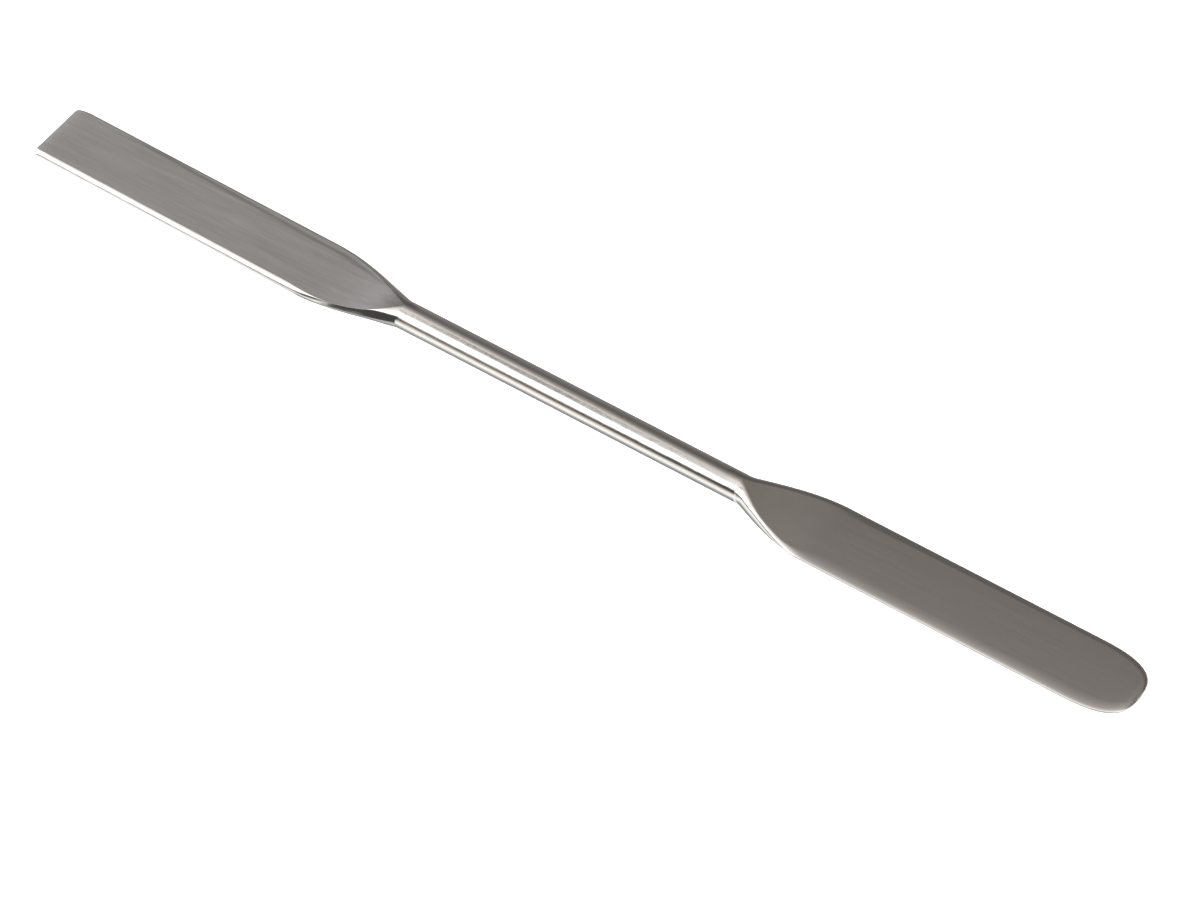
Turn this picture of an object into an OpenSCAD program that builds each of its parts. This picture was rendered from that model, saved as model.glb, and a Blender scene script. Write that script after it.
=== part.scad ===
// Double-ended laboratory spatula, drawn out of one round steel bar.
// The middle of the bar stays round and is the handle. Each end is pressed and ground flat:
// one into a blade with a square end, the other into a thinner blade with a round end.
// The spatula lies along X with its square end at -X, and rests on the underside of its rod.
// The origin is under the middle of its length, on the surface that it rests on.

/* [Whole spatula] */
// Length over both ends
length = 150; // [135:1:200]

/* [Rod] */
// Diameter of the round rod
rod_d = 3.5; // [3:0.1:4.2]

/* [Square blade] */
// Width of the blade
square_width = 9; // [7:0.1:12]
// Thickness between the two ground faces
square_thickness = 1.05; // [0.8:0.05:1.5]
// Length from the square end to the fully round rod
square_reach = 51; // [35:0.5:60]
// Length over which the rod spreads to the full width
square_spread = 12.5; // [10:0.5:20]
// Length over which the rod thins to the blade's thickness
square_thinning = 11; // [8:0.5:18]
// Length of the soft corner where the outline leaves the rod
square_fillet = 0.3; // [0.1:0.05:2]
// Radius of the two corners at the end
square_corner = 1.4; // [0.5:0.1:3]
// Depth of the rounded side and end edges
square_roll = 0.5; // [0.3:0.05:1]
// Angle by which the blade is set up from the rod, in degrees
square_rise = 1; // [0:0.1:1.5]

/* [Round blade] */
// Width of the blade
round_width = 9.5; // [7:0.1:12]
// Thickness between the two faces
round_thickness = 0.75; // [0.5:0.05:1.2]
// Length from the round end to the fully round rod
round_reach = 52.5; // [35:0.5:60]
// Length over which the rod spreads to the full width
round_spread = 11; // [9:0.5:20]
// Length over which the rod thins to the blade's thickness
round_thinning = 12; // [8:0.5:18]
// Length of the soft corner where the outline leaves the rod
round_fillet = 0.6; // [0.1:0.05:2]
// Length of the rounded end
round_end = 8.2; // [4:0.1:12]
// Depth of the rounded edges
round_roll = 0.9; // [0.3:0.05:1.2]
// Distance of the blade's middle below the rod's axis
round_drop = 0.4; // [0:0.02:0.6]
// Angle by which the blade is set down from the rod, in degrees
round_dip = 0.2; // [0:0.1:0.4]

/* [Hidden] */

rod_r = rod_d / 2;
// Straight edges around each half of a section's outline
outline_steps = 24;
// Sections along a shoulder, and how strongly they crowd towards the rod
shoulder_steps = 16;
shoulder_crowding = 1.3;
// Sections along a blade's end
end_steps = 8;
// What is left at a blade's very tip: a share of its thickness, and a half width
tip_height_share = 0.25;
tip_half_width = 0.3;
// Fullness of an end's outline: 2 is a round corner, and higher values are squarer
corner_power = 2;
round_end_power = 2.9;
// Half the sweep of a side's arc. At 90 it runs smoothly into the face, as on the round rod.
// Below 90 it meets the face in a crisp line.
smooth_sweep = 90;
ground_sweep = 62;

// Columns of a blade's row of sizes
WIDTH = 0;
THICKNESS = 1;
REACH = 2;
SPREAD = 3;
THINNING = 4;
FILLET = 5;
END_LENGTH = 6;
END_DEPTH = 7;
END_POWER = 8;
ROLL = 9;
SWEEP = 10;
RISE = 11;
DROP = 12;

SQUARE_BLADE = [
    square_width, square_thickness, square_reach, square_spread, square_thinning,
    square_fillet, square_corner, square_corner, corner_power,
    square_roll, ground_sweep, square_rise, 0
];
ROUND_BLADE = [
    round_width, round_thickness, round_reach, round_spread, round_thinning,
    round_fillet, round_end, round_width / 2, round_end_power,
    round_roll, smooth_sweep, -round_dip, round_drop
];

// A quarter sine that rises from 0 to 1 and then stays there. Below 0 it is a straight line.
function ease(t) = t < 0 ? t * PI / 2 : t > 1 ? 1 : sin(90 * t);

// A change from one value to another as t goes from 0 to 1
function blend(from, to, t) = from + (to - from) * ease(max(0, t));

// The larger of two values, with the corner between them rounded where they differ by under band
function soft_max(a, b, band) =
    max(a, b) + pow(max(0, band - abs(a - b)), 2) / (4 * band);

// How much of a quarter round is left at the share u of its length
function quarter(u, power) = pow(max(0, 1 - pow(max(0, u), power)), 1 / power);

// Half width of a blade at the distance s from the round rod
function half_width(b, s) =
    let (
        growth = b[WIDTH] / 2 - rod_r,
        spread = rod_r + growth * ease((s - b[FILLET]) / b[SPREAD]),
        fillet_band = growth * PI / 2 / b[SPREAD] * b[FILLET],
        side = soft_max(rod_r, spread, fillet_band),
        u = (s - b[REACH] + b[END_LENGTH]) / b[END_LENGTH],
        closed = b[END_DEPTH] * (1 - quarter(u, b[END_POWER]))
    )
    max(tip_half_width, side - closed);

// Half height of a blade at the distance s from the round rod
function half_height(b, s) =
    let (
        u = (s - b[REACH] + b[ROLL]) / b[ROLL],
        left = max(tip_height_share, quarter(u, corner_power))
    )
    left * blend(rod_r, b[THICKNESS] / 2, s / b[THINNING]);

// Height of a blade's middle above the rod's axis. It bends over the shoulder, then runs straight.
function middle(b, s) =
    let (
        bend = max(0, min(s, b[SPREAD])),
        run = max(0, s) - bend + bend * bend / (2 * b[SPREAD])
    )
    tan(b[RISE]) * run - blend(0, b[DROP], s / b[SPREAD]);

// One section of a blade: a flat top and bottom joined by an arc at each side
function section(b, s) =
    let (
        w = half_width(b, s),
        h = half_height(b, s),
        z = middle(b, s),
        depth = min(w, blend(rod_r, b[ROLL], s / b[SPREAD])),
        sweep = blend(smooth_sweep, b[SWEEP], s / b[SPREAD])
    )
    [for (side = [1, -1], i = [0 : outline_steps])
        let (
            a = side * sweep * (2 * i / outline_steps - 1),
            bulge = (cos(a) - cos(sweep)) / (1 - cos(sweep))
        )
        [s, side * (w - depth + depth * bulge), z + h * sin(a) / sin(sweep)]
    ];

// Distances from the rod's end at which a blade's sections stand
function stations(b) =
    let (shoulder = max(b[SPREAD] + b[FILLET], b[THINNING]))
    concat(
        [for (i = [0 : shoulder_steps]) shoulder * pow(i / shoulder_steps, shoulder_crowding)],
        [for (i = [0 : end_steps]) b[REACH] - b[END_LENGTH] * (1 - sin(90 * i / end_steps))]
    );

// A blade, its shoulder and a length of the rod, along +X. The rod ends at the origin.
module blade_and_rod(b, rod_length) {
    rings = [for (s = concat([-rod_length], stations(b))) section(b, s)];
    count = len(rings[0]);
    tip = (len(rings) - 1) * count;
    walls = [for (first = [0 : count : tip - count], i = [0 : count - 1])
        let (next = (i + 1) % count, second = first + count)
        [first + i, second + i, second + next, first + next]
    ];
    rod_cap = [for (i = [0 : count - 1]) i];
    tip_cap = [for (i = [count - 1 : -1 : 0]) tip + i];
    polyhedron([for (ring = rings, p = ring) p], concat(walls, [rod_cap, tip_cap]));
}

// The whole spatula, one solid from end to end. Its two halves meet in the middle of the rod.
module spatula() {
    half_rod = (length - square_reach - round_reach) / 2;
    middle_of_rod = (square_reach - round_reach) / 2;
    color("silver")
    translate([middle_of_rod, 0, rod_r])
    union() {
        mirror([1, 0, 0])
        translate([half_rod, 0, 0])
        blade_and_rod(SQUARE_BLADE, half_rod);
        translate([half_rod, 0, 0])
        blade_and_rod(ROUND_BLADE, half_rod);
    }
}

spatula();
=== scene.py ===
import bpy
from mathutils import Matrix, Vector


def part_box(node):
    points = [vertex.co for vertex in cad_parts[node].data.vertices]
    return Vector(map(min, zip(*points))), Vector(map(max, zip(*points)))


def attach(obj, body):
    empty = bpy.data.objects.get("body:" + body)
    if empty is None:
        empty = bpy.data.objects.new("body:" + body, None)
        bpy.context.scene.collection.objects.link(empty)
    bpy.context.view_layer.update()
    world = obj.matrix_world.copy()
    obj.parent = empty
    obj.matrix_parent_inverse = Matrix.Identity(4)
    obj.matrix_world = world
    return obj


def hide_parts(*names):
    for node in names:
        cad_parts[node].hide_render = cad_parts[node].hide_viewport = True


bl_info = {
    "name": "Lab Spatula",
    "version": (1, 0, 0),
    "blender": (4, 5, 0),
    "location": "View3D > Sidebar > Spatula",
    "description": "Builds a double-ended steel laboratory spatula and the table it lies on",
    "category": "Add Mesh",
}

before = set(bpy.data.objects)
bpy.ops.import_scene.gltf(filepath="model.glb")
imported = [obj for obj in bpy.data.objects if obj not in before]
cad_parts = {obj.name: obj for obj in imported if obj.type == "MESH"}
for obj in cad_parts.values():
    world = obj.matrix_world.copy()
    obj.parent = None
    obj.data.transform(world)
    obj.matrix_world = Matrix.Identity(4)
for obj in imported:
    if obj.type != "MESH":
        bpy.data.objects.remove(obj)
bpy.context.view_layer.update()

import math

import bmesh
import bpy
from bpy.props import FloatProperty, FloatVectorProperty, PointerProperty
from bpy.types import Operator, Panel, PropertyGroup
from mathutils import Vector

NODE = "spatula"
LOW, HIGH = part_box(NODE)
LENGTH = HIGH.x - LOW.x
MM = 0.001

# ---------------------------------------------------------------------------------------------
# Sizes that a user would change
# ---------------------------------------------------------------------------------------------


def distance(name, description, default):
    """A length property in metres."""
    return FloatProperty(
        name=name, description=description, default=default,
        min=0.0, precision=5, subtype="DISTANCE", unit="LENGTH",
    )


def factor(name, description, default):
    """A plain share from 0 to 1."""
    return FloatProperty(
        name=name, description=description, default=default,
        min=0.0, max=1.0, subtype="FACTOR",
    )


def tilt(name, description, default):
    """An angle property in radians."""
    return FloatProperty(
        name=name, description=description, default=default,
        subtype="ANGLE", unit="ROTATION",
    )


def colour(name, description, default):
    """A colour property."""
    return FloatVectorProperty(
        name=name, description=description, default=default,
        size=3, min=0.0, max=1.0, subtype="COLOR",
    )


class SquareBladeSizes(PropertyGroup):
    """Sizes of the thicker blade with the square end."""

    width: distance("Width", "Width of the blade", 9.0 * MM)
    thickness: distance("Thickness", "Thickness between the ground faces", 1.05 * MM)
    reach: distance("Reach", "From the square end to the fully round rod", 51.0 * MM)
    spread: distance("Spread", "Length over which the rod widens", 12.5 * MM)
    thinning: distance("Thinning", "Length over which the rod thins", 11.0 * MM)
    fillet: distance("Fillet", "Soft corner where the outline leaves the rod", 0.3 * MM)
    far_corner: distance("Far corner", "Length of the worn corner", 2.2 * MM)
    far_wear: distance("Far wear", "Depth of the worn corner", 0.6 * MM)
    near_corner: distance("Near corner", "Radius of the sharp corner", 0.6 * MM)
    roll: distance("Edge", "Depth of the bevelled sides", 0.5 * MM)
    low_roll: distance("Lower edge", "Depth of the near side's lower edge", 0.15 * MM)
    near_roll: distance("Near edge", "Depth of the near side's top edge", 0.5 * MM)
    shoulder_roll: distance("Shoulder edge", "Depth of the sides beside the rod", 0.07 * MM)
    shoulder: distance("Shoulder", "Length over which the flat face opens", 4.6 * MM)
    bevel: distance("End bevel", "Length of the soft bevel at the end", 2.2 * MM)
    rise: tilt("Rise", "Angle by which the blade is set up from the rod", math.radians(1.0))
    step: distance("Step", "Height of the dressed step on the far side", 0.06 * MM)
    step_start: distance("Step start", "From the rod to where that step starts", 2.0 * MM)
    step_inset: distance("Step inset", "From the far side to that step", 1.3 * MM)
    fall: distance("Fall", "Height of the face's far side over its near side", 0.0)


class RoundBladeSizes(PropertyGroup):
    """Sizes of the thinner blade with the round end."""

    width: distance("Width", "Width of the blade", 9.5 * MM)
    thickness: distance("Thickness", "Thickness between the faces", 0.75 * MM)
    reach: distance("Reach", "From the round end to the fully round rod", 52.5 * MM)
    spread: distance("Spread", "Length over which the rod widens", 11.0 * MM)
    thinning: distance("Thinning", "Length over which the rod thins", 12.0 * MM)
    fillet: distance("Fillet", "Soft corner where the outline leaves the rod", 0.6 * MM)
    end_length: distance("End length", "Length of the rounded end", 8.2 * MM)
    roll: distance("Edge", "Depth of the rolled sides", 0.95 * MM)
    low_roll: distance("Lower edge", "Depth of the near side's lower edge", 0.2 * MM)
    near_roll: distance("Near edge", "Depth of the near side's top edge", 1.55 * MM)
    near_trim: distance("Near trim", "How much the near side is dressed down", 0.1 * MM)
    shoulder_roll: distance("Shoulder edge", "Depth of the sides beside the rod", 0.5 * MM)
    shoulder: distance("Shoulder", "Length over which the flat face opens", 5.2 * MM)
    bevel: distance("End roll", "Length of the rolled end", 0.9 * MM)
    drop: distance("Drop", "How far the blade lies below the rod's axis", 0.4 * MM)
    dip: tilt("Dip", "Angle by which the blade is set down", math.radians(0.2))
    step: distance("Step", "Height of the dressed step on the far side", 0.05 * MM)
    step_start: distance("Step start", "From the rod to where that step starts", 9.0 * MM)
    step_inset: distance("Step inset", "From the far side to that step", 0.95 * MM)
    fall: distance("Fall", "Height of the face's far side over its near side", 0.2 * MM)


class SteelFinish(PropertyGroup):
    """Colour and surface of the steel."""

    rod_diameter: distance("Rod diameter", "Diameter of the round rod", 3.5 * MM)
    steel: colour("Steel", "Reflected colour of the steel", (0.60, 0.59, 0.58))
    polish: factor("Polish", "Blur of the polished rod", 0.1)
    ground: factor("Ground", "Blur of the ground square blade", 0.37)
    satin: factor("Satin", "Blur of the satin round blade", 0.22)


class StageLook(PropertyGroup):
    """Floor and light."""

    floor: colour("Floor", "Colour of the floor", (0.9, 0.9, 0.9))
    floor_glow: factor("Floor glow", "Light that the sheet lets through from below", 0.8)
    room_strength: FloatProperty(
        name="Room", description="Brightness of the light tent", default=1.0, min=0.0
    )


# ---------------------------------------------------------------------------------------------
# The shape of a blade, by the rule that the solid part follows
# ---------------------------------------------------------------------------------------------

# Powers of a rounding: 2 is a quarter circle, less is flatter and more is fuller
ROUND_CORNER = 2.0
ROUND_END = 2.9
BEVELLED = 1.45
ROLLED = 2.0

TIP_HALF_WIDTH = 0.3 * MM
NOSE = 0.35 * MM            # length of the square end's blunt nose
NOSE_SHARE = 0.12           # share of the height left at the nose's tip
BEVEL_DEPTH = 0.27          # share of the height that the end's bevel takes
ROLL_SHARE = 0.5            # share of the height left at the round end's tip
STEP_WIDTH = 0.5 * MM       # width of the dressed step's slope
STEP_RAMP = 8 * MM          # length over which the step comes up
STEP_RUN_OUT = 12 * MM      # length over which it dies out again
STEP_STOP = 5 * MM          # from the blade's end to where it is gone
STEP_DRIFT = 0.6            # share of its inset that the step loses towards the end
FACE_START = 0.3            # share of the shoulder before the face starts to fall
NEAR_START = 1.5            # in lengths of the shoulder, where the near edge deepens
NEAR_END = 1.2              # in lengths of the spread, where it is full

# How many steps and sections the mesh has
EDGE_STEPS = 32
TOP_PLACES = 34
SHOULDER_STEPS = 96
SHOULDER_CROWDING = 1.3
FACE_STEPS = 60
END_STEPS = 44
ROD_STEPS = 24


def ease(t):
    """A quarter sine from 0 to 1. Below 0 it is a straight line."""
    if t < 0:
        return t * math.pi / 2
    return 1.0 if t > 1 else math.sin(t * math.pi / 2)


def blend(start, end, t):
    """A change from one value to another as t goes from 0 to 1."""
    return start + (end - start) * ease(max(0.0, t))


def smooth(t):
    """A change from 0 to 1 that starts and ends softly."""
    t = min(1.0, max(0.0, t))
    return t * t * (3 - 2 * t)


def soft_max(a, b, band):
    """The larger of two values, rounded where they differ by less than band."""
    return max(a, b) + max(0.0, band - abs(a - b)) ** 2 / (4 * band)


def quarter(u, power):
    """How much of a quarter round is left at the share u of its length."""
    return max(0.0, 1 - max(0.0, u) ** power) ** (1 / power)


def between(start, end, shares):
    """Points at the given shares of the way between two points at one height."""
    return [(start[0] + (end[0] - start[0]) * share, start[1]) for share in shares]


class Blade:
    """One flattened end of the bar. Distances s run outwards from the end of the round rod."""

    def __init__(self, sizes, rod_radius):
        self.rod = rod_radius
        self.half_width = sizes.width / 2
        self.half_thickness = sizes.thickness / 2
        self.reach = sizes.reach
        self.spread = sizes.spread
        self.thinning = sizes.thinning
        self.fillet = sizes.fillet
        self.roll = sizes.roll
        self.near_roll = sizes.near_roll
        self.low_roll = sizes.low_roll
        self.shoulder_roll = sizes.shoulder_roll
        self.shoulder = sizes.shoulder
        self.bevel = sizes.bevel
        self.step = sizes.step
        self.step_inset = sizes.step_inset
        self.step_start = sizes.step_start
        self.fall = sizes.fall
        self.drop = 0.0

    def side_at(self, s):
        """Half width at s, before the end closes."""
        growth = self.half_width - self.rod
        spread = self.rod + growth * ease((s - self.fillet) / self.spread)
        band = growth * math.pi / 2 / self.spread * self.fillet
        return soft_max(self.rod, spread, band)

    def closed(self, s, length, depth, power):
        """The side at s, drawn in by a rounded end."""
        u = (s - self.reach + length) / length
        return max(TIP_HALF_WIDTH, self.side_at(s) - depth * (1 - quarter(u, power)))

    def height_at(self, s):
        """Half height at s."""
        return self.end_height(s) * blend(self.rod, self.half_thickness, s / self.thinning)

    def middle_at(self, s):
        """Height of the blade's middle above the rod's axis."""
        bend = max(0.0, min(s, self.spread))
        run = max(0.0, s) - bend + bend * bend / (2 * self.spread)
        return self.slope * run - blend(0.0, self.drop, s / self.spread)

    def near_edge_depth(self, s):
        """How far in from the near side the top face starts. It opens at once on the shoulder."""
        opened = blend(self.rod, self.shoulder_roll, s / self.shoulder)
        start, end = NEAR_START * self.shoulder, NEAR_END * self.spread
        change = self.near_roll - self.shoulder_roll
        return opened + change * smooth((s - start) / (end - start))

    def edge_depth(self, s):
        """The same for the far side, where the face opens as slowly as the bar widens."""
        return blend(self.rod, self.roll, s / self.spread)

    def edge_power(self, s):
        """Roundness of the sides, from the round rod's to the blade's own."""
        return ROLLED + (self.side_power - ROLLED) * smooth(s / self.shoulder)

    def stations(self):
        """Distances from the rod at which sections stand."""
        shoulder = max(self.spread + self.fillet, self.thinning)
        first = [
            shoulder * (i / SHOULDER_STEPS) ** SHOULDER_CROWDING
            for i in range(SHOULDER_STEPS + 1)
        ]
        end = self.reach - self.end_run
        face = [
            shoulder + (end - shoulder) * i / FACE_STEPS for i in range(1, FACE_STEPS)
        ]
        last = [
            self.reach - self.end_run * (1 - math.sin(math.pi / 2 * i / END_STEPS))
            for i in range(END_STEPS + 1)
        ]
        return first + face + last

    def edge(self, upper, lower, height, power):
        """Points (out, up) down a side, from the top face to the underside. The upper and the
        lower half start at their own depth from the side, which is at 0."""
        points = []
        for i in range(EDGE_STEPS + 1):
            a = math.pi / 2 * (1 - 2 * i / EDGE_STEPS)
            depth = upper if a > 0 else lower
            up = abs(math.sin(a)) ** (2 / power) * (1 if a > 0 else -1)
            out = depth * (abs(math.cos(a)) ** (2 / power) - 1)
            points.append((out, height * up))
        return points

    def section(self, s):
        """Points (y, z) around the bar at s, starting at the far side's underside."""
        far, near = self.far_at(s), self.near_at(s)
        height, middle = self.height_at(s), self.middle_at(s)
        power = self.edge_power(s)
        far_depth = min(far, self.edge_depth(s))
        low_depth = min(near, blend(self.rod, self.low_roll, s / self.spread))
        near_depth = min(near, self.near_edge_depth(s))
        far_edge = [(far + out, up)
                    for out, up in self.edge(far_depth, far_depth, height, power)]
        near_edge = [(-(near + out), up)
                     for out, up in self.edge(near_depth, low_depth, height, power)]
        shares = [(1 - math.cos(math.pi * i / (TOP_PLACES + 1))) / 2
                  for i in range(1, TOP_PLACES + 1)]
        top = between(far_edge[0], near_edge[0], shares)
        under = between(near_edge[-1], far_edge[-1], shares)
        ring = list(reversed(far_edge)) + top + near_edge + under
        width = (far + near) / 2
        return [(y, middle + z + self.dress(s, y, z / height, width)) for y, z in ring]

    def dress(self, s, y, level, width):
        """Fall of the top face, and the dressed step along its far side."""
        top = max(0.0, level)
        face = smooth((s - FACE_START * self.spread) / ((1 - FACE_START) * self.spread))
        fall = self.fall * face * (max(0.0, width - y) / (2 * width)) ** 2
        fade = smooth((s - self.step_start) / STEP_RAMP)
        fade *= smooth((self.reach - STEP_STOP - s) / STEP_RUN_OUT)
        run = max(0.0, s - self.spread) / (self.reach - self.spread)
        place = width - self.step_inset * (1 - STEP_DRIFT * run)
        beyond = smooth((y - place + STEP_WIDTH / 2) / STEP_WIDTH)
        return -top * (fall + self.step * fade * beyond)


class SquareBlade(Blade):
    """The thicker blade: bevelled sides, one worn corner and a soft bevel at its end."""

    def __init__(self, sizes, rod_radius):
        super().__init__(sizes, rod_radius)
        self.slope = math.tan(sizes.rise)
        self.side_power = BEVELLED
        self.far_corner = sizes.far_corner
        self.far_wear = sizes.far_wear
        self.near_corner = sizes.near_corner
        self.end_run = self.bevel

    def far_at(self, s):
        """Reach of the far side from the bar's middle."""
        return self.closed(s, self.far_corner, self.far_wear, ROUND_CORNER)

    def near_at(self, s):
        """Reach of the near side from the bar's middle."""
        return self.closed(s, self.near_corner, self.near_corner, ROUND_CORNER)

    def end_height(self, s):
        """Share of the height left by the bevel and the blunt nose."""
        t = max(0.0, (s - self.reach + self.bevel) / self.bevel)
        blunt = quarter((s - self.reach + NOSE) / NOSE, ROUND_CORNER)
        return (1 - BEVEL_DEPTH * t ** 3) * (NOSE_SHARE + (1 - NOSE_SHARE) * blunt)


class RoundBlade(Blade):
    """The thinner blade: rolled sides and a full round end."""

    def __init__(self, sizes, rod_radius):
        super().__init__(sizes, rod_radius)
        self.slope = -math.tan(sizes.dip)
        self.drop = sizes.drop
        self.near_trim = sizes.near_trim
        self.side_power = ROLLED
        self.end_run = sizes.end_length

    def far_at(self, s):
        """Reach of the far side from the bar's middle."""
        return self.closed(s, self.end_run, self.half_width, ROUND_END)

    def near_at(self, s):
        """Reach of the near side, which is dressed down a little."""
        return self.far_at(s) - self.near_trim * smooth(s / self.spread)

    def end_height(self, s):
        """Share of the height left by the rolled end."""
        t = (s - self.reach + self.bevel) / self.bevel
        return max(ROLL_SHARE, quarter(t, ROUND_CORNER))


def bar_rings(square, round_):
    """Rings of points along the whole bar, from the square end to the round end."""
    axis = LOW.z + square.rod
    square_root = LOW.x + square.reach
    round_root = HIGH.x - round_.reach
    rings = []
    for s in reversed(square.stations()):
        rings.append([(square_root - s, y, axis + z) for y, z in square.section(s)])
    for i in range(1, ROD_STEPS):
        x = square_root + (round_root - square_root) * i / ROD_STEPS
        rings.append([(x, y, axis + z) for y, z in square.section(0.0)])
    for s in round_.stations():
        rings.append([(round_root + s, y, axis + z) for y, z in round_.section(s)])
    return rings


def match_rings(rings):
    """Checks that every ring has as many points."""
    count = len(rings[0])
    if any(len(ring) != count for ring in rings):
        raise RuntimeError("the bar's sections don't have as many points each")
    return count


def skin(name, rings):
    """A closed mesh through the rings."""
    count = match_rings(rings)
    mesh = bmesh.new()
    rows = [[mesh.verts.new(point) for point in ring] for ring in rings]
    for row, after in zip(rows, rows[1:]):
        for i in range(count):
            j = (i + 1) % count
            mesh.faces.new((row[i], after[i], after[j], row[j]))
    mesh.faces.new(rows[0])
    mesh.faces.new(list(reversed(rows[-1])))
    bmesh.ops.remove_doubles(mesh, verts=mesh.verts, dist=1e-7)
    bmesh.ops.recalc_face_normals(mesh, faces=mesh.faces)
    for face in mesh.faces:
        face.smooth = True
    return as_object(name, mesh)


def as_object(name, mesh):
    """A finished mesh as an object in the scene."""
    data = bpy.data.meshes.new(name)
    mesh.to_mesh(data)
    mesh.free()
    piece = bpy.data.objects.new(name, data)
    bpy.context.scene.collection.objects.link(piece)
    return piece


# ---------------------------------------------------------------------------------------------
# Materials
# ---------------------------------------------------------------------------------------------


class Nodes:
    """Short words for building a node tree."""

    def __init__(self, tree):
        self.tree = tree
        tree.nodes.clear()

    def add(self, kind, **settings):
        """A new node, with its properties set."""
        node = self.tree.nodes.new(kind)
        for key, value in settings.items():
            setattr(node, key, value)
        return node

    def link(self, source, target):
        """A wire from one socket to another."""
        self.tree.links.new(source, target)

    def set(self, socket, value):
        """A socket's value, either a wire or a constant."""
        if isinstance(value, bpy.types.NodeSocket):
            self.link(value, socket)
        else:
            socket.default_value = value

    def math(self, operation, a, b=0.0, c=0.0):
        """A Math node's result."""
        node = self.add("ShaderNodeMath", operation=operation)
        for socket, value in zip(node.inputs, (a, b, c)):
            self.set(socket, value)
        return node.outputs[0]

    def noise(self, vector, scale, detail=2.0, roughness=0.5):
        """A Noise Texture's height."""
        node = self.add("ShaderNodeTexNoise")
        self.link(vector, node.inputs["Vector"])
        node.inputs["Scale"].default_value = scale
        node.inputs["Detail"].default_value = detail
        node.inputs["Roughness"].default_value = roughness
        return node.outputs["Fac"]

    def stretch(self, vector, scale):
        """Coordinates scaled by a different amount each way."""
        node = self.add("ShaderNodeMapping")
        self.link(vector, node.inputs["Vector"])
        node.inputs["Scale"].default_value = scale
        return node.outputs["Vector"]

    def turned(self, vector, scale, degrees):
        """Coordinates turned about Z, then scaled by a different amount each way."""
        turn = self.add("ShaderNodeMapping")
        self.link(vector, turn.inputs["Vector"])
        turn.inputs["Rotation"].default_value = (0.0, 0.0, math.radians(degrees))
        return self.stretch(turn.outputs["Vector"], scale)

    def ramp(self, value, stops, interpolation="LINEAR"):
        """A Color Ramp with stops of (place, colour)."""
        node = self.add("ShaderNodeValToRGB")
        self.link(value, node.inputs[0])
        band = node.color_ramp
        band.interpolation = interpolation
        while len(band.elements) > 1:
            band.elements.remove(band.elements[-1])
        for index, (place, shade) in enumerate(stops):
            element = band.elements[0] if index == 0 else band.elements.new(place)
            element.position = place
            element.color = (*shade, 1.0)
        return node.outputs["Color"]

    def window(self, value, low, full, hold, end):
        """1 between full and hold, falling softly to 0 at low and end."""
        return self.math("MULTIPLY", self.remap(value, low, full, 0, 1, smooth=True),
                         self.remap(value, hold, end, 1, 0, smooth=True))

    def mix_colour(self, mode, share, a, b):
        """A Mix node's colour."""
        node = self.add("ShaderNodeMix", data_type="RGBA", blend_type=mode)
        node.clamp_result = False
        self.set(node.inputs["Factor"], share)
        for socket, value in ((node.inputs[6], a), (node.inputs[7], b)):
            if isinstance(value, tuple):
                socket.default_value = (*value, 1.0)
            else:
                self.link(value, socket)
        return node.outputs[2]

    def remap(self, value, low, high, to_low, to_high, smooth=False):
        """A Map Range node's result, held inside its ends."""
        node = self.add("ShaderNodeMapRange")
        if smooth:
            node.interpolation_type = "SMOOTHSTEP"
        self.set(node.inputs["Value"], value)
        for key, number in zip(
            ("From Min", "From Max", "To Min", "To Max"), (low, high, to_low, to_high)
        ):
            self.set(node.inputs[key], number)
        return node.outputs[0]


# Depths of the steel's marks
GRINDING = 7.0e-6       # marks along the square blade
SATIN = 0.5e-6          # marks on the round blade
DRAWING = 1.1e-5        # waver of the bare rod and the edges
SWELL = 9.0e-6          # slow waver of the whole bar
FACE_TILT = (0.8, 0.93)     # how level a face is where the marks start and are full


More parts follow.
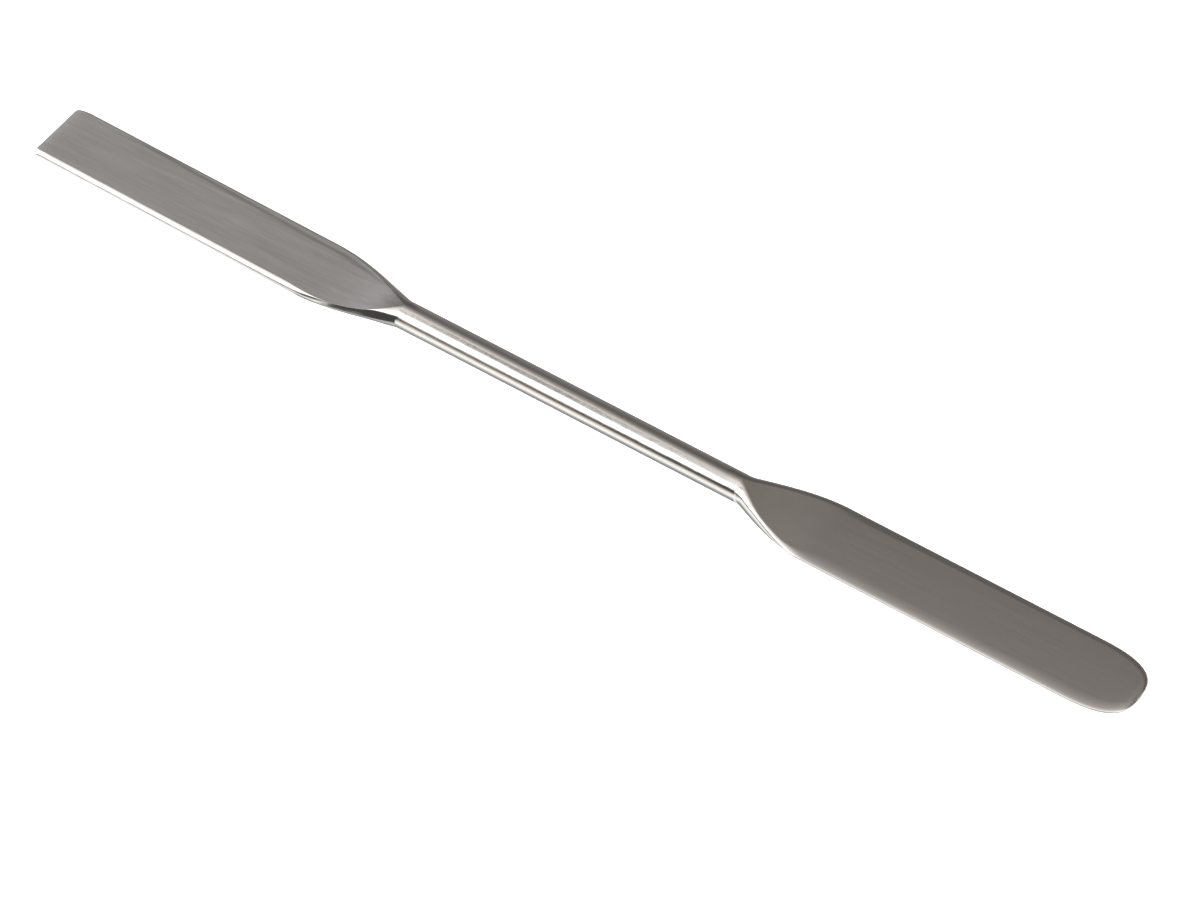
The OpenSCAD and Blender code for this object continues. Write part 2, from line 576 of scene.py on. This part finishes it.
def steel_material(finish, square_root, round_root):
    """Steel: polished on the rod, ground along the square blade, satin on the round one."""
    material = bpy.data.materials.new("worked_steel")
    material.use_nodes = True
    n = Nodes(material.node_tree)
    out = n.add("ShaderNodeOutputMaterial")
    shader = n.add("ShaderNodeBsdfPrincipled")
    n.link(shader.outputs[0], out.inputs["Surface"])
    place = n.add("ShaderNodeTexCoord").outputs["Object"]
    split = n.add("ShaderNodeSeparateXYZ")
    n.link(place, split.inputs[0])
    x = split.outputs["X"]
    facing = n.add("ShaderNodeSeparateXYZ")
    n.link(n.add("ShaderNodeTexCoord").outputs["Normal"], facing.inputs[0])
    level = n.math("ABSOLUTE", facing.outputs["Z"])
    flat = n.remap(level, *FACE_TILT, 0.0, 1.0, smooth=True)
    ground = n.remap(x, square_root - 4.0 * MM, square_root + 1.0 * MM, 1.0, 0.0, smooth=True)
    ground = n.math("MULTIPLY", ground, flat)
    satin = n.remap(x, round_root + 0.5 * MM, round_root + 4.0 * MM, 0.0, 1.0, smooth=True)
    satin = n.math("MULTIPLY", satin, flat)

    marks = n.noise(n.turned(place, (260.0, 7000.0, 7000.0), 5.0), 1.0, 3.0, 0.6)
    strokes = n.noise(n.turned(place, (90.0, 2600.0, 2600.0), -3.0), 1.0, 2.0, 0.5)
    wobble = n.noise(n.stretch(place, (500.0, 3000.0, 3000.0)), 1.0, 3.0, 0.6)
    swell = n.noise(n.stretch(place, (120.0, 260.0, 260.0)), 1.0, 1.0, 0.5)
    cut = n.math("ADD", n.math("MULTIPLY", marks, 0.45), n.math("MULTIPLY", strokes, 0.55))
    depth = n.math("ADD", n.math("MULTIPLY", ground, GRINDING), n.math("MULTIPLY", satin, SATIN))
    bare = n.math("SUBTRACT", n.math("SUBTRACT", 1.0, ground), n.math("MULTIPLY", satin, 0.93))
    waver = n.math("MULTIPLY", wobble, n.math("MULTIPLY", bare, DRAWING))
    height = n.math("ADD", n.math("MULTIPLY", cut, depth), waver)
    height = n.math("ADD", height, n.math("MULTIPLY", swell, SWELL))
    bump = n.add("ShaderNodeBump")
    bump.inputs["Strength"].default_value = 1.0
    bump.inputs["Distance"].default_value = 1.0
    n.link(height, bump.inputs["Height"])
    n.link(bump.outputs[0], shader.inputs["Normal"])

    rough = n.math("ADD", finish.polish, n.math("MULTIPLY", ground, finish.ground - finish.polish))
    rough = n.math("ADD", rough, n.math("MULTIPLY", satin, finish.satin - finish.polish))
    vary = n.remap(cut, 0.35, 0.65, -0.02, 0.02)
    n.link(n.math("ADD", rough, vary), shader.inputs["Roughness"])
    steel = tuple(finish.steel)
    streaks = n.ramp(cut, [
        (0.35, tuple(c * 0.93 for c in steel)),
        (0.65, tuple(min(1.0, c * 1.07) for c in steel)),
    ])
    share = n.math("ADD", ground, n.math("MULTIPLY", satin, 0.15))
    n.link(n.mix_colour("MIX", share, steel, streaks), shader.inputs["Base Color"])
    shader.inputs["Metallic"].default_value = 1.0
    return material


def floor_material(look):
    """A matt pale sheet."""
    material = bpy.data.materials.new("pale_sheet")
    material.use_nodes = True
    n = Nodes(material.node_tree)
    out = n.add("ShaderNodeOutputMaterial")
    shader = n.add("ShaderNodeBsdfPrincipled")
    n.link(shader.outputs[0], out.inputs["Surface"])
    place = n.add("ShaderNodeTexCoord").outputs["Object"]
    mottle = n.noise(place, 40.0, 3.0)
    floor = tuple(look.floor)
    tone = n.ramp(mottle, [(0.3, tuple(c * 0.985 for c in floor)), (0.7, floor)])
    n.link(tone, shader.inputs["Base Color"])
    n.link(tone, shader.inputs["Emission Color"])
    shader.inputs["Emission Strength"].default_value = look.floor_glow
    shader.inputs["Roughness"].default_value = 0.9
    shader.inputs["Specular IOR Level"].default_value = 0.0
    return material


# ---------------------------------------------------------------------------------------------
# Operators
# ---------------------------------------------------------------------------------------------


class SPATULA_OT_bar(Operator):
    """Make the whole spatula, from its square end to its round end"""

    bl_idname = "spatula.bar"
    bl_label = "Spatula"

    def execute(self, context):
        scene = context.scene
        finish = scene.spatula_finish
        rod = finish.rod_diameter / 2
        square = SquareBlade(scene.spatula_square, rod)
        round_ = RoundBlade(scene.spatula_round, rod)
        piece = skin("steel_bar", bar_rings(square, round_))
        steel = steel_material(finish, LOW.x + square.reach, HIGH.x - round_.reach)
        piece.data.materials.append(steel)
        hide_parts(NODE)
        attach(piece, "root")
        return {"FINISHED"}


class SPATULA_OT_stage(Operator):
    """Make the floor, the light and the camera"""

    bl_idname = "spatula.stage"
    bl_label = "Stage"

    def execute(self, context):
        scene = context.scene
        look = scene.spatula_stage
        make_floor(look)
        make_room(scene, look)
        make_backdrop()
        make_camera(scene)
        scene.view_settings.view_transform = "Standard"
        return {"FINISHED"}


FLOOR_HALF = 6.0

# The camera looks down on the bar from the near side, a third of the way round to its right
CAMERA_AZIMUTH = math.radians(34.71)
CAMERA_ELEVATION = math.radians(48.55)
CAMERA_DISTANCE = 0.694
CAMERA_LENS = 184.15
SENSOR_WIDTH = 36.0
AIM = (6.2 * MM, -4.23 * MM)


def make_floor(look):
    """A wide flat sheet that the spatula lies on."""
    mesh = bmesh.new()
    corners = [(-1, -1), (1, -1), (1, 1), (-1, 1)]
    mesh.faces.new([
        mesh.verts.new((x * FLOOR_HALF, y * FLOOR_HALF, LOW.z)) for x, y in corners
    ])
    floor = as_object("floor", mesh)
    floor.data.materials.append(floor_material(look))
    only_for_camera(floor)


# Light around the bar, by the angle from the near horizon (0) up over the bar to the far
# horizon (180), and back under it: floor near the bar, dark gap at the table's edge, wide
# near lamp, ceiling, dim far wall
AROUND = [
    (-180, (0.30, 0.29, 0.285)),
    (-132, (0.34, 0.33, 0.325)),
    (-118, (0.44, 0.45, 0.44)),
    (-100, (0.40, 0.42, 0.41)),
    (-84, (0.40, 0.42, 0.41)),
    (-72, (0.46, 0.48, 0.47)),
    (-64, (0.60, 0.62, 0.60)),
    (-56, (0.98, 1.0, 0.97)),
    (-48, (1.50, 1.50, 1.46)),
    (-28, (1.62, 1.60, 1.53)),
    (-20, (1.08, 1.03, 0.95)),
    (-12, (0.60, 0.54, 0.48)),
    (-5, (0.31, 0.265, 0.23)),
    (0, (0.25, 0.21, 0.18)),
    (4, (0.36, 0.32, 0.29)),
    (8, (0.75, 0.72, 0.69)),
    (13, (1.7, 1.68, 1.65)),
    (20, (3.0, 3.0, 3.0)),
    (46, (3.0, 3.0, 3.0)),
    (53, (1.9, 1.88, 1.85)),
    (60, (1.42, 1.38, 1.35)),
    (74, (1.35, 1.31, 1.27)),
    (84, (1.22, 1.18, 1.14)),
    (92, (1.02, 0.98, 0.94)),
    (98, (0.80, 0.76, 0.73)),
    (104, (0.60, 0.57, 0.545)),
    (111, (0.44, 0.415, 0.395)),
    (119, (0.305, 0.285, 0.27)),
    (130, (0.215, 0.20, 0.187)),
    (146, (0.21, 0.195, 0.182)),
    (162, (0.27, 0.25, 0.235)),
    (180, (0.30, 0.29, 0.285)),
]

# How that light changes along the bar, by the slope of the way towards the round end: cool
# and brighter beyond the square end, dimmer beyond the round end
ALONG_REACH = 2.5
ALONG = [
    (-2.5, (5.0, 5.5, 6.0)),
    (-1.3, (5.0, 5.5, 6.0)),
    (-1.0, (3.6, 3.8, 4.0)),
    (-0.8, (1.2, 1.22, 1.24)),
    (-0.5, (1.05, 1.03, 1.01)),
    (-0.455, (1.14, 1.13, 1.12)),
    (-0.435, (1.0, 1.0, 1.0)),
    (-0.416, (1.0, 1.0, 1.0)),
    (-0.40, (1.10, 1.09, 1.08)),
    (-0.387, (0.80, 0.79, 0.78)),
    (-0.36, (0.84, 0.82, 0.80)),
    (-0.32, (0.99, 0.97, 0.95)),
    (0.0, (1.06, 1.03, 1.0)),
    (2.5, (1.0, 0.97, 0.94)),
]
DARK_ROOM = (0.09, 0.085, 0.08)         # the unlit room past the table
DARK_OPENING = (0.06, 0.055, 0.05)      # the hole in the tent over the rod
FAR_WALL = (0.02, 0.02, 0.02)           # what the far wall dims towards
LIT_SHEET = (1.55, 1.56, 1.53)          # the table's sheet where a lamp is near
GREY_SHEET = (0.74, 0.77, 0.74)         # the same sheet, further from the lamp


def covered(n, light, share, paint):
    """The light with a colour laid over a share of it."""
    return n.mix_colour("MIX", share, light, paint)


def dim_far_wall(n, light, angle, slope):
    """The far wall is dimmer beyond each blade."""
    far = n.remap(angle, 127, 142, 0, 1, smooth=True)
    past_square = n.remap(slope, -0.49, -0.46, 1, 0, smooth=True)
    past_round = n.remap(slope, -0.385, -0.36, 0, 1, smooth=True)
    dim = n.math("ADD", n.math("MULTIPLY", past_square, 0.45),
                 n.math("MULTIPLY", past_round, 0.32))
    return covered(n, light, n.math("MULTIPLY", far, dim), FAR_WALL)


def lay_sheets(n, light, angle, slope):
    """The table's sheet, lit in front of the square blade and beyond the round end."""
    sheet = n.window(angle, -155, -135, -10, -4)
    beside_square = n.window(slope, -0.64, -0.57, -0.50, -0.455)
    light = covered(n, light, n.math("MULTIPLY", sheet, beside_square), LIT_SHEET)
    sheet = n.window(angle, -155, -135, 20, 30)
    past_round = n.remap(slope, 0.3, 0.5, 0, 1, smooth=True)
    light = covered(n, light, n.math("MULTIPLY", sheet, past_round), LIT_SHEET)
    grey = n.math("MULTIPLY", n.window(angle, -84, -66, -48, -40),
                  n.window(slope, -0.372, -0.36, 0.3, 0.45))
    return covered(n, light, grey, GREY_SHEET)


def darken_room(n, light, angle, slope):
    """The dark room past the table's edge and behind the square end, and the tent's opening."""
    low = n.math("MULTIPLY", n.window(angle, -50, -41, 8, 16),
                 n.window(slope, -0.27, -0.16, 0.3, 0.45))
    light = covered(n, light, low, DARK_ROOM)
    gap = n.math("MULTIPLY", n.window(angle, -8, -3, 13, 21),
                 n.remap(slope, -0.419, -0.406, 0, 1, smooth=True))
    light = covered(n, light, gap, DARK_ROOM)
    under = n.math("MAXIMUM", n.remap(angle, -125, -112, 1, 0, smooth=True),
                   n.remap(angle, 150, 165, 0, 1, smooth=True))
    behind = n.math("MULTIPLY", under, n.remap(slope, -0.8, -0.64, 1, 0, smooth=True))
    light = covered(n, light, behind, DARK_ROOM)
    opening = n.math("MULTIPLY", n.window(angle, 56, 64, 82, 90),
                     n.window(slope, -0.452, -0.441, -0.415, -0.405))
    return covered(n, light, opening, DARK_OPENING)


def make_room(scene, look):
    """The light tent around the bar, as the world's light."""
    world = bpy.data.worlds.new("light_tent")
    world.use_nodes = True
    scene.world = world
    n = Nodes(world.node_tree)
    out = n.add("ShaderNodeOutputWorld")
    back = n.add("ShaderNodeBackground")
    n.link(back.outputs[0], out.inputs["Surface"])
    way = n.add("ShaderNodeSeparateXYZ")
    n.link(n.add("ShaderNodeTexCoord").outputs["Generated"], way.inputs[0])
    x, y, z = way.outputs
    angle = n.math("MULTIPLY", n.math("ARCTAN2", z, n.math("MULTIPLY", y, -1.0)), 180 / math.pi)
    across = n.math("SQRT", n.math("ADD", n.math("MULTIPLY", y, y), n.math("MULTIPLY", z, z)))
    slope = n.math("DIVIDE", x, n.math("MAXIMUM", across, 0.001))

    around = n.ramp(n.remap(angle, -180, 180, 0, 1), [((a + 180) / 360, c) for a, c in AROUND])
    along = n.ramp(
        n.remap(slope, -ALONG_REACH, ALONG_REACH, 0, 1),
        [((q + ALONG_REACH) / (2 * ALONG_REACH), c) for q, c in ALONG],
    )
    light = n.mix_colour("MULTIPLY", n.remap(z, -0.05, 0.1, 0, 1), around, along)
    light = dim_far_wall(n, light, angle, slope)
    light = lay_sheets(n, light, angle, slope)
    light = darken_room(n, light, angle, slope)

    n.link(light, back.inputs["Color"])
    back.inputs["Strength"].default_value = look.room_strength


def make_backdrop():
    """A pale dome far behind everything, which only the camera sees."""
    mesh = bmesh.new()
    bmesh.ops.create_uvsphere(mesh, u_segments=48, v_segments=24, radius=12.0)
    dome = as_object("backdrop", mesh)
    dome.data.materials.append(backdrop_material())
    only_for_camera(dome)


def backdrop_material():
    """A pale glow, brighter at the horizon."""
    material = bpy.data.materials.new("pale_backdrop")
    material.use_nodes = True
    n = Nodes(material.node_tree)
    out = n.add("ShaderNodeOutputMaterial")
    glow = n.add("ShaderNodeEmission")
    n.link(glow.outputs[0], out.inputs["Surface"])
    height = n.add("ShaderNodeSeparateXYZ")
    n.link(n.add("ShaderNodeTexCoord").outputs["Generated"], height.inputs[0])
    shade = n.ramp(height.outputs["Z"], [(0.5, (0.93, 0.93, 0.93)), (1.0, (0.8, 0.8, 0.8))])
    n.link(shade, glow.inputs["Color"])
    return material


def only_for_camera(piece):
    """Leaves a piece of the stage out of every reflection and shadow."""
    piece.visible_diffuse = False
    piece.visible_glossy = False
    piece.visible_transmission = False
    piece.visible_shadow = False


def make_camera(scene):
    """A long lens that looks down on the middle of the bar."""
    lens = bpy.data.cameras.new("camera")
    lens.lens = CAMERA_LENS
    lens.sensor_width = SENSOR_WIDTH
    lens.clip_start = 0.01
    camera = bpy.data.objects.new("camera", lens)
    scene.collection.objects.link(camera)
    ahead = Vector((
        -math.sin(CAMERA_AZIMUTH) * math.cos(CAMERA_ELEVATION),
        math.cos(CAMERA_AZIMUTH) * math.cos(CAMERA_ELEVATION),
        -math.sin(CAMERA_ELEVATION),
    ))
    axis = LOW.z + scene.spatula_finish.rod_diameter / 2
    camera.location = Vector((*AIM, axis)) - ahead * CAMERA_DISTANCE
    camera.rotation_euler = ahead.to_track_quat("-Z", "Y").to_euler()
    scene.camera = camera


class SPATULA_PT_panel(Panel):
    """Sizes and parts of the spatula."""

    bl_idname = "SPATULA_PT_panel"
    bl_label = "Lab Spatula"
    bl_space_type = "VIEW_3D"
    bl_region_type = "UI"
    bl_category = "Spatula"

    def draw(self, context):
        layout = self.layout
        scene = context.scene
        for group in (scene.spatula_square, scene.spatula_round, scene.spatula_finish,
                      scene.spatula_stage):
            box = layout.box()
            for name in group.__annotations__:
                box.prop(group, name)
        for operator in OPERATORS:
            layout.operator(operator.bl_idname)


GROUPS = {
    "spatula_square": SquareBladeSizes,
    "spatula_round": RoundBladeSizes,
    "spatula_finish": SteelFinish,
    "spatula_stage": StageLook,
}
OPERATORS = (SPATULA_OT_bar, SPATULA_OT_stage)


def register():
    """Registers every class and hangs the property groups on the scene."""
    for cls in (*GROUPS.values(), *OPERATORS, SPATULA_PT_panel):
        bpy.utils.register_class(cls)
    for name, group in GROUPS.items():
        setattr(bpy.types.Scene, name, PointerProperty(type=group))


def unregister():
    """Takes the property groups and classes away again."""
    for name in GROUPS:
        delattr(bpy.types.Scene, name)
    for cls in reversed((*GROUPS.values(), *OPERATORS, SPATULA_PT_panel)):
        bpy.utils.unregister_class(cls)


def main():
    """Builds everything in order."""
    register()
    bpy.ops.spatula.stage()
    bpy.ops.spatula.bar()
    bpy.context.view_layer.update()


if __name__ == "__main__":
    main()
